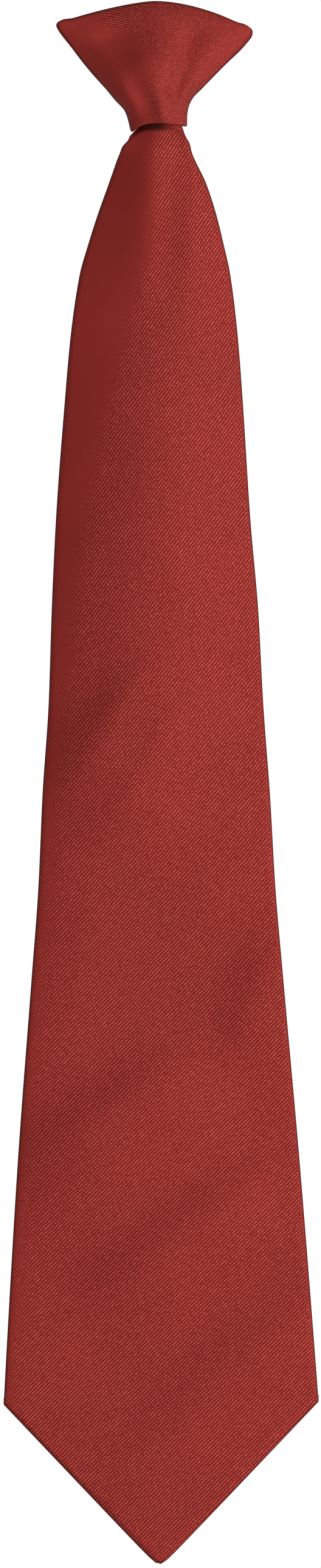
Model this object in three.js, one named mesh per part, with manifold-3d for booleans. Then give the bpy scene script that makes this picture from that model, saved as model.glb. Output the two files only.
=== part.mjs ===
// A ready-tied necktie that clips on to a closed shirt collar, in millimetres, +Z up.
// The front looks along -Y and +X is to the right as seen from the front. The origin is inside
// the clip's bend, where the top edge of the collar band sits, so everything hangs from it.
import * as THREE from 'three';
import { ParametricGeometry } from 'three/addons/geometries/ParametricGeometry.js';
import { mergeVertices } from 'three/addons/utils/BufferGeometryUtils.js';
import Module from 'manifold-3d';

const wasm = await Module();
wasm.setup();

// Driving dimensions.
const PIECE_GAP = 0.3; // left between pieces that touch

const KNOT_WIDTH = 57.4; // wing corner to wing corner
const KNOT_HEIGHT = 35.8; // rim to the top of the arch, at the middle
const KNOT_BULGE = 13.6; // how far the front swells out of the wing edges
const KNOT_WALL = 1.6;
const KNOT_EDGE_HOLLOW = 0.8; // left between the front and back cloth at the wing edges
const KNOT_TOP_ABOVE_BAND = 5; // the arch stands above the collar band
const KNOT_NUB_RISE = 0.5; // the folded left corner stands this much proud of the arch
const ARCH_DROP_LEFT = 6.4; // top arch, from the middle down to the wing corners
const ARCH_DROP_RIGHT = 8.3;
const RIM_DROP_LEFT = 2.5; // rim arch, from the middle down to the throat's sides
const RIM_DROP_RIGHT = 0.9;

const BLADE_LENGTH = 369.3; // throat to the corners of the tip
const BLADE_WIDTH = 92; // across the corners of the tip
const BLADE_WALL = 1.5;
const BLADE_HOLLOW = 0.8; // left between the front panel and the back flaps
const BLADE_BOW = 6.4; // how far the middle stands in front of the side edges, at most
const TIP_HEIGHT = 47.3;
const TIP_SLANT = 0.9; // the left corner hangs lower than the right one by this
const FLAP_STEP = 0.5; // the back flaps stand this much proud along their free edges
const FLAP_PART_LENGTH = 66; // the flaps part into an inverted V over this length
const SEAM_WIDTH = 0.8; // of the line where one back flap ends on the other
const SEAM_OFFSET = 2.2; // of that line from the middle of the back
const HEM_WIDTH = 8; // of the cloth turned to the back along the tip's edges
const NECK_RISE = 22; // how far the neck goes up inside the knot
const NECK_THICKNESS = 4.6;
const NECK_SIDE_GAP = 0.8; // to the knot's wall at each side
const NECK_RIM_GAP = 0.5; // under the rim, where the blade flares out
const NECK_FLARE = 0.6; // height of that flare

const CLIP_WIDTH = 13;
const CLIP_THICKNESS = 1.2;
const CLIP_JAW = 3; // between plate and tongue, for the collar band
const CLIP_PLATE_HEIGHT = 22;
const CLIP_TONGUE_LENGTH = 26;
const CLIP_PINCH = 0.6; // the tongue leans in by this where it grips
const CLIP_GRIP_AT = 0.7; // where it grips, as a share of the tongue's length
const CLIP_LIP = 1.8; // the tongue's end turns away by this
const CLIP_CORNER = 3.5;

// Levels and planes that several pieces share.
const TOP_Z = KNOT_TOP_ABOVE_BAND;
const RIM_Z = TOP_Z - KNOT_HEIGHT;
const KNOT_BACK_Y = -(CLIP_JAW / 2 + CLIP_THICKNESS + PIECE_GAP);
const KNOT_EDGE = KNOT_WALL + KNOT_EDGE_HOLLOW / 2; // half the thickness of the wing edges
const KNOT_EDGE_Y = KNOT_BACK_Y - KNOT_EDGE;
const BLADE_THICKNESS = 2 * BLADE_WALL + BLADE_HOLLOW;

// Knot sections from the rim up: the sides as shares of half the knot's width, the front
// bulge as a share of KNOT_BULGE, and how pointed the section is towards its sides.
const KNOT_SECTIONS = [
  { up: 0.0, left: 0.241, right: 0.333, bulge: 0.8, taper: 0.5 },
  { up: 0.1, left: 0.265, right: 0.333, bulge: 0.84, taper: 0.5 },
  { up: 0.2, left: 0.302, right: 0.346, bulge: 0.88, taper: 0.54 },
  { up: 0.3, left: 0.4, right: 0.389, bulge: 0.93, taper: 0.6 },
  { up: 0.4, left: 0.488, right: 0.481, bulge: 0.97, taper: 0.68 },
  { up: 0.5, left: 0.586, right: 0.574, bulge: 1.0, taper: 0.76 },
  { up: 0.6, left: 0.679, right: 0.667, bulge: 0.99, taper: 0.84 },
  { up: 0.7, left: 0.765, right: 0.765, bulge: 0.92, taper: 0.9 },
  { up: 0.8, left: 0.846, right: 0.867, bulge: 0.78, taper: 0.95 },
  { up: 0.9, left: 0.932, right: 0.951, bulge: 0.56, taper: 1.0 },
  { up: 0.96, left: 0.978, right: 0.993, bulge: 0.36, taper: 1.0 },
  { up: 1.0, left: 1.0, right: 1.0, bulge: 0.16, taper: 1.0 },
];

// Folds across the knot's front: where they cross the top and the rim, from -1 at the left
// side to 1 at the right, their half width on that scale, their height as a share of
// KNOT_BULGE, and between which heights they run.
const KNOT_FOLDS = [
  { top: 0.14, rim: 0.33, spread: 0.22, height: 0.06, from: -0.2, to: 1.1 },
  { top: -0.22, rim: -0.3, spread: 0.2, height: -0.05, from: -0.2, to: 0.95 },
  { top: -0.62, rim: -0.75, spread: 0.16, height: 0.05, from: 0.08, to: 0.8 },
  { top: 0.5, rim: 0.78, spread: 0.1, height: -0.07, from: 0.15, to: 0.85 },
  { top: 0.78, rim: 0.98, spread: 0.14, height: 0.03, from: 0.3, to: 0.95 },
];

// Blade sections from the throat down: the sides as shares of half the blade's width, the bow
// as a share of BLADE_BOW, where the crest of the bow lies from -1 at the left side to 1 at
// the right, how far the side edges lie in front of the knot's back as a share of KNOT_BULGE,
// and the thickness as a share of the blade's own.
const BLADE_SECTIONS = [
  { down: 0.0, left: 0.154, right: 0.185, bow: 0.5, crest: 0.1, forward: 0.425, thickness: 1.3 },
  { down: 0.006, left: 0.177, right: 0.2, bow: 0.58, crest: 0.08, forward: 0.415, thickness: 1.28 },
  { down: 0.0115, left: 0.204, right: 0.223, bow: 0.68, crest: 0.04, forward: 0.4, thickness: 1.25 },
  { down: 0.02, left: 0.222, right: 0.238, bow: 0.82, crest: -0.02, forward: 0.36, thickness: 1.2 },
  { down: 0.045, left: 0.29, right: 0.329, bow: 1.0, crest: -0.14, forward: 0.28, thickness: 1.12 },
  { down: 0.0686, left: 0.358, right: 0.391, bow: 1.0, crest: -0.14, forward: 0.25, thickness: 1.08 },
  { down: 0.0926, left: 0.42, right: 0.439, bow: 0.97, crest: -0.12, forward: 0.23, thickness: 1.05 },
  { down: 0.1165, left: 0.474, right: 0.481, bow: 0.93, crest: -0.17, forward: 0.22, thickness: 1.03 },
  { down: 0.1645, left: 0.531, right: 0.528, bow: 0.85, crest: -0.38, forward: 0.21, thickness: 1.0 },
  { down: 0.2125, left: 0.566, right: 0.558, bow: 0.78, crest: -0.54, forward: 0.2, thickness: 1.0 },
  { down: 0.3084, left: 0.624, right: 0.608, bow: 0.66, crest: -0.68, forward: 0.19, thickness: 1.0 },
  { down: 0.38, left: 0.651, right: 0.658, bow: 0.58, crest: -0.74, forward: 0.18, thickness: 1.0 },
  { down: 0.452, left: 0.67, right: 0.689, bow: 0.5, crest: -0.79, forward: 0.17, thickness: 1.0 },
  { down: 0.524, left: 0.709, right: 0.732, bow: 0.43, crest: -0.82, forward: 0.16, thickness: 1.0 },
  { down: 0.596, left: 0.735, right: 0.766, bow: 0.37, crest: -0.83, forward: 0.155, thickness: 1.0 },
  { down: 0.668, left: 0.778, right: 0.816, bow: 0.32, crest: -0.84, forward: 0.15, thickness: 1.0 },
  { down: 0.812, left: 0.866, right: 0.92, bow: 0.24, crest: -0.85, forward: 0.14, thickness: 1.0 },
  { down: 0.956, left: 0.936, right: 1.013, bow: 0.18, crest: -0.86, forward: 0.13, thickness: 1.0 },
  { down: 1.0, left: 0.955, right: 1.04, bow: 0.16, crest: -0.86, forward: 0.13, thickness: 1.0 },
];

// Dents and folds on the blade's front, each along a line: its ends from -1 at the left side
// to 1 at the right and as shares of the blade's length, its half width as a share of the
// blade's width and its height as a share of BLADE_BOW.
const BLADE_DENTS = [
  { startAcross: 0.62, startDown: 0.02, endAcross: 0.8, endDown: 0.115, spread: 0.028, height: -0.16 },
  { startAcross: 0.84, startDown: -0.01, endAcross: 0.95, endDown: 0.03, spread: 0.02, height: 0.12 },
  { startAcross: -0.9, startDown: 0.0, endAcross: -0.82, endDown: 0.02, spread: 0.03, height: 0.1 },
  { startAcross: -0.74, startDown: 0.778, endAcross: 0.02, endDown: 0.741, spread: 0.03, height: -0.09 },
  { startAcross: 0.5, startDown: 0.725, endAcross: 0.8, endDown: 0.646, spread: 0.03, height: -0.09 },
  { startAcross: -0.27, startDown: 0.886, endAcross: 0.5, endDown: 0.833, spread: 0.03, height: -0.08 },
  { startAcross: 0.88, startDown: 0.918, endAcross: 0.6, endDown: 0.98, spread: 0.03, height: -0.09 },
];

const RIM_POWER = 3; // how late the rim's arch drops towards the throat's sides
const ARCH_POWER_LEFT = 1.4; // how round the top arch is on each side
const ARCH_POWER_RIGHT = 1.8;
const NUB_AT = -0.93; // where the folded corner's nub is, and its half width, across the knot
const NUB_SPREAD = 0.09;
const EDGE_SQUARENESS = 8; // how square the knot's edges and flat back are
const TOP_ROLL = 0.7; // how round the knot's top edge is, as a share of its half thickness
const FOLD_FADE = 0.1; // over which a knot's fold starts and ends, as a share of its height
const FOLD_SIDE_POWER = 4; // how late the folds die out towards the knot's sides
const DENT_FADE = 0.22; // over which a dent starts and ends, as a share of its length
const DENT_START = 0.006; // the dents start this far below the throat
const ARCH_FADE = 0.03; // the blade's sections follow the rim's arch down to this share of it
const TIP_START = 0.7; // and bend into the tip's point from this share on
const TIP_AT = -0.01; // the point lies a little left of the middle
const TIP_SOFTNESS = 0.03; // rounds the point
const BOW_SOFTNESS = 0.35; // rounds the bow's ridge

// How finely the surfaces are cut into faces.
const KNOT_COLUMNS = 18;
const KNOT_ROWS = 14;
const BLADE_COLUMNS = 18;
const BLADE_ROWS = 32;
const NECK_ROWS = 2;
const ROLL_STEPS = 3;
const ROW_CROWDING = 1.35; // the blade's rows crowd towards the throat by this power
const PART_STEPS = 8; // in the inverted V between the flaps
const PART_START = 0.004; // half width of the V's point
const PART_OVERLAP = 0.01; // the seam runs on into the V's point by this share of the blade
const CUT_MARGIN = 1; // a cutter reaches past what it cuts by this
const BEND_STEPS = 8; // in each bend or round corner of the clip

const clothMaterial = () =>
  new THREE.MeshStandardMaterial({ color: 0x96362f, roughness: 0.62, metalness: 0 });
const clipMaterial = () =>
  new THREE.MeshStandardMaterial({ color: 0x1c1c1e, roughness: 0.5, metalness: 0 });

// Reads a column of a table of sections at any place between its rows, without overshoot.
function readTable(table, key, at, column) {
  const last = table.length - 1;
  const place = Math.min(Math.max(at, table[0][key]), table[last][key]);
  const next = Math.max(1, table.findIndex((row) => row[key] >= place));
  const slope = (k) => {
    if (k === 0 || k === last) return 0;
    const before = (table[k][column] - table[k - 1][column]) / (table[k][key] - table[k - 1][key]);
    const after = (table[k + 1][column] - table[k][column]) / (table[k + 1][key] - table[k][key]);
    return before * after <= 0 ? 0 : (2 * before * after) / (before + after);
  };
  const step = table[next][key] - table[next - 1][key];
  const t = (place - table[next - 1][key]) / step;
  const rise = table[next][column] - table[next - 1][column];
  const slopeIn = next === 1 ? rise / step : slope(next - 1);
  const slopeOut = next === last ? rise / step : slope(next);
  const ease = t * t * (3 - 2 * t);
  return (
    table[next - 1][column] +
    rise * ease +
    step * (slopeIn * t * (1 - t) * (1 - t) - slopeOut * t * t * (1 - t))
  );
}

const bell = (offset) => Math.exp(-offset * offset);
const softDistance = (offset, softness) => Math.hypot(offset, softness) - softness;
const smooth = (from, to, at) => THREE.MathUtils.smoothstep(at, from, to);
const fadeBetween = (from, to, fade, at) =>
  smooth(from - fade, from + fade, at) * (1 - smooth(to - fade, to + fade, at));

// A closed surface round a bundle of sections. place(row, column, back) gives a point, where
// column runs from the left side to the right one, and back is true on the rear half. The
// first and last rows have no thickness, so they close the surface.
function closedSurface(rows, columns, place) {
  const around = 2 * columns;
  const point = (u, v, target) => {
    const turn = Math.round(u * around) % around;
    const back = turn > columns;
    target.copy(place(Math.round(v * rows), back ? around - turn : turn, back));
  };
  return new ParametricGeometry(point, around, rows);
}

// A solid from a closed geometry, with its faces turned outward.
function toSolid(geometry) {
  geometry.deleteAttribute('normal');
  geometry.deleteAttribute('uv');
  const merged = mergeVertices(geometry, 1e-4);
  const corners = merged.getAttribute('position').array;
  const faces = [];
  const index = merged.index.array;
  for (let i = 0; i < index.length; i += 3) {
    const [a, b, c] = [index[i], index[i + 1], index[i + 2]];
    if (a !== b && b !== c && c !== a) faces.push(a, b, c);
  }
  const mesh = (triangles) =>
    new wasm.Mesh({
      numProp: 3,
      vertProperties: Float32Array.from(corners),
      triVerts: Uint32Array.from(triangles),
    });
  const solid = new wasm.Manifold(mesh(faces));
  return solid.volume() > 0 ? solid : new wasm.Manifold(mesh(faces.reverse()));
}

function toMesh(name, solid, material) {
  const result = solid.getMesh();
  const geometry = new THREE.BufferGeometry();
  geometry.setAttribute('position', new THREE.BufferAttribute(result.vertProperties, 3));
  geometry.setIndex(new THREE.BufferAttribute(result.triVerts, 1));
  geometry.computeVertexNormals();
  const mesh = new THREE.Mesh(geometry, material);
  mesh.name = name;
  return mesh;
}

// Height of the rim's arch and of the knot's top edge, under their middles, from side to side.
const rimDrop = (across) => {
  if (across > 0) return RIM_DROP_RIGHT * across ** RIM_POWER;
  return RIM_DROP_LEFT * Math.abs(across) ** RIM_POWER;
};
const archDrop = (across) => {
  if (across > 0) return ARCH_DROP_RIGHT * across ** ARCH_POWER_RIGHT;
  const nub = KNOT_NUB_RISE * bell((across - NUB_AT) / NUB_SPREAD);
  return ARCH_DROP_LEFT * Math.abs(across) ** ARCH_POWER_LEFT - nub;
};

// The height of the folds on the knot's front at a place on it.
function foldHeight(up, across) {
  let height = 0;
  for (const fold of KNOT_FOLDS) {
    const centre = THREE.MathUtils.lerp(fold.rim, fold.top, up);
    const run = fadeBetween(fold.from, fold.to, FOLD_FADE, up);
    height += KNOT_BULGE * fold.height * run * bell((across - centre) / fold.spread);
  }
  return height * (1 - across ** FOLD_SIDE_POWER);
}

// The knot's outer surface, or its inner one when inset is the wall's thickness.
function knotSurface(inset) {
  const mouthRows = 2;
  const rows = mouthRows + KNOT_ROWS + ROLL_STEPS;
  const place = (row, column, back) => {
    const body = Math.min(Math.max(row - mouthRows, 0), KNOT_ROWS);
    const up = body / KNOT_ROWS;
    const round = Math.max(row - mouthRows - KNOT_ROWS, 0) / ROLL_STEPS;
    const closing = row === 0 ? 0 : Math.cos((round * Math.PI) / 2);
    const across = -Math.cos((column / KNOT_COLUMNS) * Math.PI);
    const half = KNOT_WIDTH / 2;
    const left = -half * readTable(KNOT_SECTIONS, 'up', up, 'left') + inset;
    const right = half * readTable(KNOT_SECTIONS, 'up', up, 'right') - inset;
    const x = (left + right) / 2 + (across * (right - left)) / 2;
    const edge = (KNOT_EDGE - inset) * Math.sqrt(1 - across ** EDGE_SQUARENESS);
    const taper = readTable(KNOT_SECTIONS, 'up', up, 'taper');
    const bulge = KNOT_BULGE * readTable(KNOT_SECTIONS, 'up', up, 'bulge') * (1 - across * across) ** taper;
    const front = Math.max(bulge + foldHeight(up, across), 0);
    const topRoll = (KNOT_EDGE - inset) * TOP_ROLL;
    const low = RIM_Z - rimDrop(across) - (row < mouthRows ? 2 * inset : 0);
    const high = TOP_Z - archDrop(across) - inset - topRoll;
    const z = THREE.MathUtils.lerp(low, high, up) + Math.sin((round * Math.PI) / 2) * topRoll;
    const depth = back ? edge : -(edge + front);
    return new THREE.Vector3(x, KNOT_EDGE_Y + depth * closing, z);
  };
  return closedSurface(rows, KNOT_COLUMNS, place);
}

// The blade's section at a place down its length, or in the neck, where down is negative.
function bladeSection(down) {
  const half = BLADE_WIDTH / 2;
  const read = (column) => readTable(BLADE_SECTIONS, 'down', down, column);
  const section = {
    left: -half * read('left'),
    right: half * read('right'),
    bow: BLADE_BOW * read('bow'),
    crest: read('crest'),
    edgeY: KNOT_BACK_Y - KNOT_BULGE * read('forward'),
    thickness: BLADE_THICKNESS * read('thickness'),
  };
  if (down >= 0) return section;
  const halfKnot = KNOT_WIDTH / 2;
  const inside = KNOT_WALL + NECK_SIDE_GAP;
  return {
    ...section,
    left: -halfKnot * readTable(KNOT_SECTIONS, 'up', 0, 'left') + inside,
    right: halfKnot * readTable(KNOT_SECTIONS, 'up', 0, 'right') - inside,
    thickness: NECK_THICKNESS,
  };
}

// How far the bow stands out at a place across it, from 0 at the sides to 1 at the crest: two
// nearly flat slopes that meet in a soft ridge.
function bowShape(across, crest) {
  const side = across < crest ? 1 + crest : 1 - crest;
  return 1 - softDistance(across - crest, BOW_SOFTNESS) / softDistance(side, BOW_SOFTNESS);
}

// How far the rows of the blade hang down into its point, from 0 at the corners to 1.
function pointShape(across) {
  const side = across < TIP_AT ? 1 + TIP_AT : 1 - TIP_AT;
  return 1 - softDistance(across - TIP_AT, TIP_SOFTNESS) / softDistance(side, TIP_SOFTNESS);
}

// How far the blade is raised or dented at a place on it.
function dentHeight(down, across) {
  let height = 0;
  for (const dent of BLADE_DENTS) {
    const alongX = ((dent.endAcross - dent.startAcross) * BLADE_WIDTH) / 2;
    const alongZ = (dent.endDown - dent.startDown) * BLADE_LENGTH;
    const x = ((across - dent.startAcross) * BLADE_WIDTH) / 2;
    const z = (down - dent.startDown) * BLADE_LENGTH;
    const length = Math.hypot(alongX, alongZ);
    const along = (x * alongX + z * alongZ) / length / length;
    const off = (x * alongZ - z * alongX) / length / (dent.spread * BLADE_WIDTH);
    height += BLADE_BOW * dent.height * fadeBetween(0, 1, DENT_FADE, along) * bell(off);
  }
  return height;
}

// A point of the blade: down its length, across it from -1 to 1, and through it, in
// millimetres from the middle of its thickness towards the back. In the neck, down runs from
// -1 at its top to 0.
function bladePoint(down, across, through) {
  const section = bladeSection(down);
  const below = Math.max(down, 0);
  const x = THREE.MathUtils.lerp(section.left, section.right, (across + 1) / 2);
  const dent = dentHeight(below, across) * smooth(0, DENT_START, below);
  const front = section.bow * bowShape(across, section.crest) + dent;
  const arch = rimDrop(across) * (1 - smooth(0, ARCH_FADE, below));
  const flare = NECK_FLARE + below * (BLADE_LENGTH + RIM_DROP_LEFT - NECK_RIM_GAP - NECK_FLARE);
  const line = down < 0 ? -down * NECK_RISE : -flare;
  const point = TIP_HEIGHT * pointShape(across) + TIP_SLANT * Math.max(-across, 0);
  const z = RIM_Z - NECK_RIM_GAP - arch + line - point * smooth(TIP_START, 1, below);
  return new THREE.Vector3(x, section.edgeY - front + through, z);
}

// The rows of the blade's surface, close together where it leaves the knot: how far down, the
// share of the thickness, and a shift up. The wall's inner surface runs out through the
// neck's top, lies a wall's thickness under the flare, and the last rows round the tip's hem.
function bladeRows(inset) {
  const rows = [{ down: -1, closing: 0, shift: 2 * inset }];
  for (let k = 0; k < NECK_ROWS; k += 1) {
    rows.push({ down: k / NECK_ROWS - 1, closing: 1, shift: k === 0 ? 2 * inset : 0 });
  }
  rows.push({ down: -1e-6, closing: 1, shift: -inset });
  for (let k = 0; k < BLADE_ROWS; k += 1) {
    const down = (k / BLADE_ROWS) ** ROW_CROWDING;
    rows.push({ down, closing: 1, shift: -inset * (1 - smooth(0, ARCH_FADE, down)) });
  }
  const hem = BLADE_THICKNESS / 2;
  for (let k = 0; k <= ROLL_STEPS; k += 1) {
    const turn = (k / ROLL_STEPS) * (Math.PI / 2);
    rows.push({ down: 1, closing: Math.cos(turn), shift: hem - (hem - inset) * Math.sin(turn) });
  }
  return rows;
}

// The blade's outer surface, or its inner one when inset is the wall's thickness: rolled side
// edges with a flat front and back between them.
function bladeSurface(inset) {
  const rows = bladeRows(inset);
  const place = (row, column, back) => {
    const { down, closing, shift } = rows[row];
    const section = bladeSection(down);
    const radius = section.thickness / 2 - inset;
    const millimetre = 2 / (section.right - section.left);
    const rollStep = Math.min(column, BLADE_COLUMNS - column, ROLL_STEPS);
    const turn = (rollStep / ROLL_STEPS) * (Math.PI / 2);
    const roll = 1 - millimetre * (inset + radius);
    const flat = (2 * (column - ROLL_STEPS)) / (BLADE_COLUMNS - 2 * ROLL_STEPS) - 1;
    const side = column * 2 < BLADE_COLUMNS ? -1 : 1;
    const across = rollStep < ROLL_STEPS ? side * (roll + millimetre * radius * Math.cos(turn)) : flat * roll;
    const half = radius * Math.sin(turn) * closing;
    const point = bladePoint(down, across, back ? half : -half);
    point.z += shift;
    return point;
  };
  return closedSurface(rows.length - 1, BLADE_COLUMNS, place);
}

// A cutter as deep as the flaps' step for the blade's back, round the line where one flap ends
// on the other. halfWidth(down) is its half width, as a share of half the blade's width there.
function backCutter(from, to, rows, columns, halfWidth) {
  const place = (row, column, back) => {
    const body = Math.min(Math.max(row - 1, 0), rows);
    const down = THREE.MathUtils.lerp(from, to, body / rows);
    const share = Math.min(Math.max(column - 1, 0), columns) / columns;
    const { thickness, left, right } = bladeSection(down);
    const middle = (2 * (SEAM_OFFSET - left)) / (right - left) - 1;
    const across = middle + (2 * share - 1) * halfWidth(down);
    const isEnd = row === 0 || row === rows + 2 || column === 0 || column === columns + 2;
    const reach = back ? FLAP_STEP : -FLAP_STEP;
    return bladePoint(down, across, thickness / 2 + (isEnd ? 0 : reach));
  };
  return toSolid(closedSurface(rows + 2, columns + 2, place));
}

// The folded tube of cloth, with the seam and the inverted V of its flaps on the back.
function makeBlade() {
  const hemDown = 1 - (HEM_WIDTH * Math.SQRT2) / BLADE_LENGTH;
  const partDown = hemDown - FLAP_PART_LENGTH / BLADE_LENGTH;
  const partEnd = 1 - (2 * HEM_WIDTH) / BLADE_WIDTH;
  const parting = (down) => PART_START + (partEnd * (down - partDown)) / (hemDown - partDown);
  const seam = (down) => SEAM_WIDTH / (bladeSection(down).right - bladeSection(down).left);
  return toSolid(bladeSurface(0))
    .subtract(toSolid(bladeSurface(BLADE_WALL)))
    .subtract(backCutter(ARCH_FADE, partDown + PART_OVERLAP, BLADE_ROWS / 2, 1, seam))
    .subtract(backCutter(partDown, hemDown, PART_STEPS, PART_STEPS, parting));
}

function makeKnot() {
  return toSolid(knotSurface(0)).subtract(toSolid(knotSurface(KNOT_WALL)));
}

const extrude = (shape, depth) =>
  new THREE.ExtrudeGeometry(shape, { depth, bevelEnabled: false, curveSegments: BEND_STEPS });

// The clip: a strip bent over the collar band, from its side, cut to an outline with round
// lower corners.
function makeClip() {
  const inner = CLIP_JAW / 2;
  const outer = inner + CLIP_THICKNESS;
  const bendZ = -inner;
  const grip = inner - CLIP_PINCH;
  const gripZ = -CLIP_TONGUE_LENGTH * CLIP_GRIP_AT;
  const lip = grip + CLIP_LIP;
  const side = new THREE.Shape();
  side.moveTo(-outer, -CLIP_PLATE_HEIGHT);
  side.lineTo(-outer, bendZ);
  side.absarc(0, bendZ, outer, Math.PI, 0, true);
  side.lineTo(grip + CLIP_THICKNESS, gripZ);
  side.lineTo(lip + CLIP_THICKNESS, -CLIP_TONGUE_LENGTH);
  side.lineTo(lip, -CLIP_TONGUE_LENGTH);
  side.lineTo(grip, gripZ);
  side.lineTo(inner, bendZ);
  side.absarc(0, bendZ, inner, 0, Math.PI, false);
  side.lineTo(-inner, -CLIP_PLATE_HEIGHT);
  side.closePath();
  const strip = extrude(side, CLIP_WIDTH);
  strip.translate(0, 0, -CLIP_WIDTH / 2);
  strip.applyMatrix4(new THREE.Matrix4().makeBasis(
    new THREE.Vector3(0, 1, 0),
    new THREE.Vector3(0, 0, 1),
    new THREE.Vector3(1, 0, 0),
  ));

  const half = CLIP_WIDTH / 2;
  const centre = half - CLIP_CORNER;
  const low = CLIP_CORNER - CLIP_TONGUE_LENGTH;
  const outline = new THREE.Shape();
  outline.moveTo(-half, outer);
  outline.lineTo(-half, low);
  outline.absarc(-centre, low, CLIP_CORNER, Math.PI, 1.5 * Math.PI, false);
  outline.absarc(centre, low, CLIP_CORNER, 1.5 * Math.PI, 2 * Math.PI, false);
  outline.lineTo(half, outer);
  outline.closePath();
  const reach = outer + CLIP_LIP + CUT_MARGIN;
  const block = extrude(outline, 2 * reach);
  block.rotateX(Math.PI / 2);
  block.translate(0, reach, 0);
  return toSolid(strip).intersect(toSolid(block));
}

const tie = new THREE.Group();
tie.add(toMesh('knot', makeKnot(), clothMaterial()));
tie.add(toMesh('blade', makeBlade(), clothMaterial()));
tie.add(toMesh('clip', makeClip(), clipMaterial()));

export default tie;
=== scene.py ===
import functools
import math

import bmesh
import bpy
from mathutils import Matrix, Vector, noise


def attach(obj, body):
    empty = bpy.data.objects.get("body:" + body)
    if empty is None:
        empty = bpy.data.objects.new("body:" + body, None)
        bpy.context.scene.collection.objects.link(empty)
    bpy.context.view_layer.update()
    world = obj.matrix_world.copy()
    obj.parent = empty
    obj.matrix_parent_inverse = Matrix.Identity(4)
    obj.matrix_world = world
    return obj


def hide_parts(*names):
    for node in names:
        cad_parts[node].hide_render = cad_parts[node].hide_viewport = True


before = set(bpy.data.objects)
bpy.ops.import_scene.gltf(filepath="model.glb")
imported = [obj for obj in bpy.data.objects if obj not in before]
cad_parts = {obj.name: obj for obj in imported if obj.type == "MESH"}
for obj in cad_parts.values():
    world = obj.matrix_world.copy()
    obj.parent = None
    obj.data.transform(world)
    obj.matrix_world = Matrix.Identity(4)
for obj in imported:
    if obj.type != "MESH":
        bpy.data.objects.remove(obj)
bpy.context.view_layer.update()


# The knot is one piece of tie cloth wrapped over a stiff core and folded shut at the back.
# Its top edge is a folded arch with two wing corners, and its throat is an open rim from
# which the blade hangs. Soft folds run down its front from the arch into the throat.
KNOT_HALF_WIDTH = 0.0287
KNOT_TOP_Z = 0.005
RIM_Z = -0.0308
KNOT_BACK_Y = -0.003
KNOT_BULGE = 0.0136
KNOT_WALL = 0.0013
KNOT_EDGE = 0.002
KNOT_EDGE_Y = KNOT_BACK_Y - KNOT_EDGE
NUB_RISE_LEFT = 0.0006
NUB_RISE_RIGHT = 0.0007
NUB_AT = 0.955
NUB_SPREAD = 0.07
CORNER_ROUNDING = 0.0011
CORNER_POWER = 5
ARCH_DROP_LEFT = 0.0064
ARCH_DROP_RIGHT = 0.0083
ARCH_POWER_LEFT = 1.4
ARCH_POWER_RIGHT = 1.8
RIM_DROP_LEFT = 0.0025
RIM_DROP_RIGHT = 0.0009
RIM_POWER = 3
EDGE_SQUARENESS = 8
TOP_ROLL = 0.7
FOLD_FADE = 0.1
FOLD_SIDE_POWER = 4
KNOT_COLUMNS = 44
KNOT_ROWS = 38
KNOT_ROLL_ROWS = 4
# Sections from the rim up: the sides as shares of half the knot's width, the front bulge as
# a share of KNOT_BULGE, and how pointed the section is towards its right and its left side.
KNOT_SECTIONS = [
    {"up": 0.0, "left": 0.241, "right": 0.333, "bulge": 0.8, "taper": 0.38, "left_taper": 0.34},
    {"up": 0.1, "left": 0.265, "right": 0.333, "bulge": 0.82, "taper": 0.38, "left_taper": 0.32},
    {"up": 0.2, "left": 0.302, "right": 0.346, "bulge": 0.84, "taper": 0.4, "left_taper": 0.32},
    {"up": 0.3, "left": 0.4, "right": 0.389, "bulge": 0.85, "taper": 0.46, "left_taper": 0.38},
    {"up": 0.4, "left": 0.488, "right": 0.481, "bulge": 0.84, "taper": 0.58, "left_taper": 0.5},
    {"up": 0.5, "left": 0.586, "right": 0.574, "bulge": 0.8, "taper": 0.78, "left_taper": 0.8},
    {"up": 0.6, "left": 0.679, "right": 0.667, "bulge": 0.7, "taper": 0.98, "left_taper": 1.2},
    {"up": 0.7, "left": 0.765, "right": 0.765, "bulge": 0.58, "taper": 1.1, "left_taper": 1.6},
    {"up": 0.8, "left": 0.846, "right": 0.867, "bulge": 0.42, "taper": 1.1, "left_taper": 2.0},
    {"up": 0.9, "left": 0.932, "right": 0.951, "bulge": 0.28, "taper": 1.1, "left_taper": 2.0},
    {"up": 0.96, "left": 0.978, "right": 0.993, "bulge": 0.19, "taper": 1.1, "left_taper": 2.0},
    {"up": 1.0, "left": 1.0, "right": 1.0, "bulge": 0.1, "taper": 1.1, "left_taper": 2.0},
]
# Folds on the front: where each crosses the top and the rim, from -1 at the left side to 1
# at the right, its half width on that scale, its height as a share of KNOT_BULGE, and
# between which heights it runs.
KNOT_FOLDS = [
    {"top": -0.38, "rim": 0.26, "spread": 0.3, "height": 0.12, "from": -0.2, "to": 0.62},
    {"top": -0.78, "rim": -0.8, "spread": 0.24, "height": 0.15, "from": 0.15, "to": 0.95},
    {"top": 0.38, "rim": 0.62, "spread": 0.17, "height": -0.18, "from": 0.2, "to": 0.85},
    {"top": 0.86, "rim": 0.98, "spread": 0.24, "height": 0.1, "from": 0.3, "to": 1.0},
]
# The ribs of the cloth lie flat on the knot's left and get steep towards its right, which
# comes from a run that grows with x, in metres, and a height that counts less on the right.
KNOT_RIB_RUN = [0.53, 17.0, 100.0]
KNOT_RIB_STEEPENING = 1.0
KNOT_THREAD_RUN = (0.8, -0.6)
# The left half lies in a fold that faces away from the light, where the ribs' relief and
# their painted highlights hardly show. They start at a place from -1 at the left side to 1 at
# the right, further left towards the top, and fade a little towards the right side, where
# fewer painted highlights leave the right wing darker as painted shade.
RIBS_START_AT = -0.13
RIBS_FULL_AT = 0.03
RIBS_LEFT_AT_TOP = 0.5
RIBS_TURN_LEFT_FROM = 0.6
RIBS_FAINT = 0.08
RIB_SHADE_RIGHT = 0.35
RIB_SHADE_FROM = 0.2
RIB_SHADE_TO = 0.9
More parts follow.
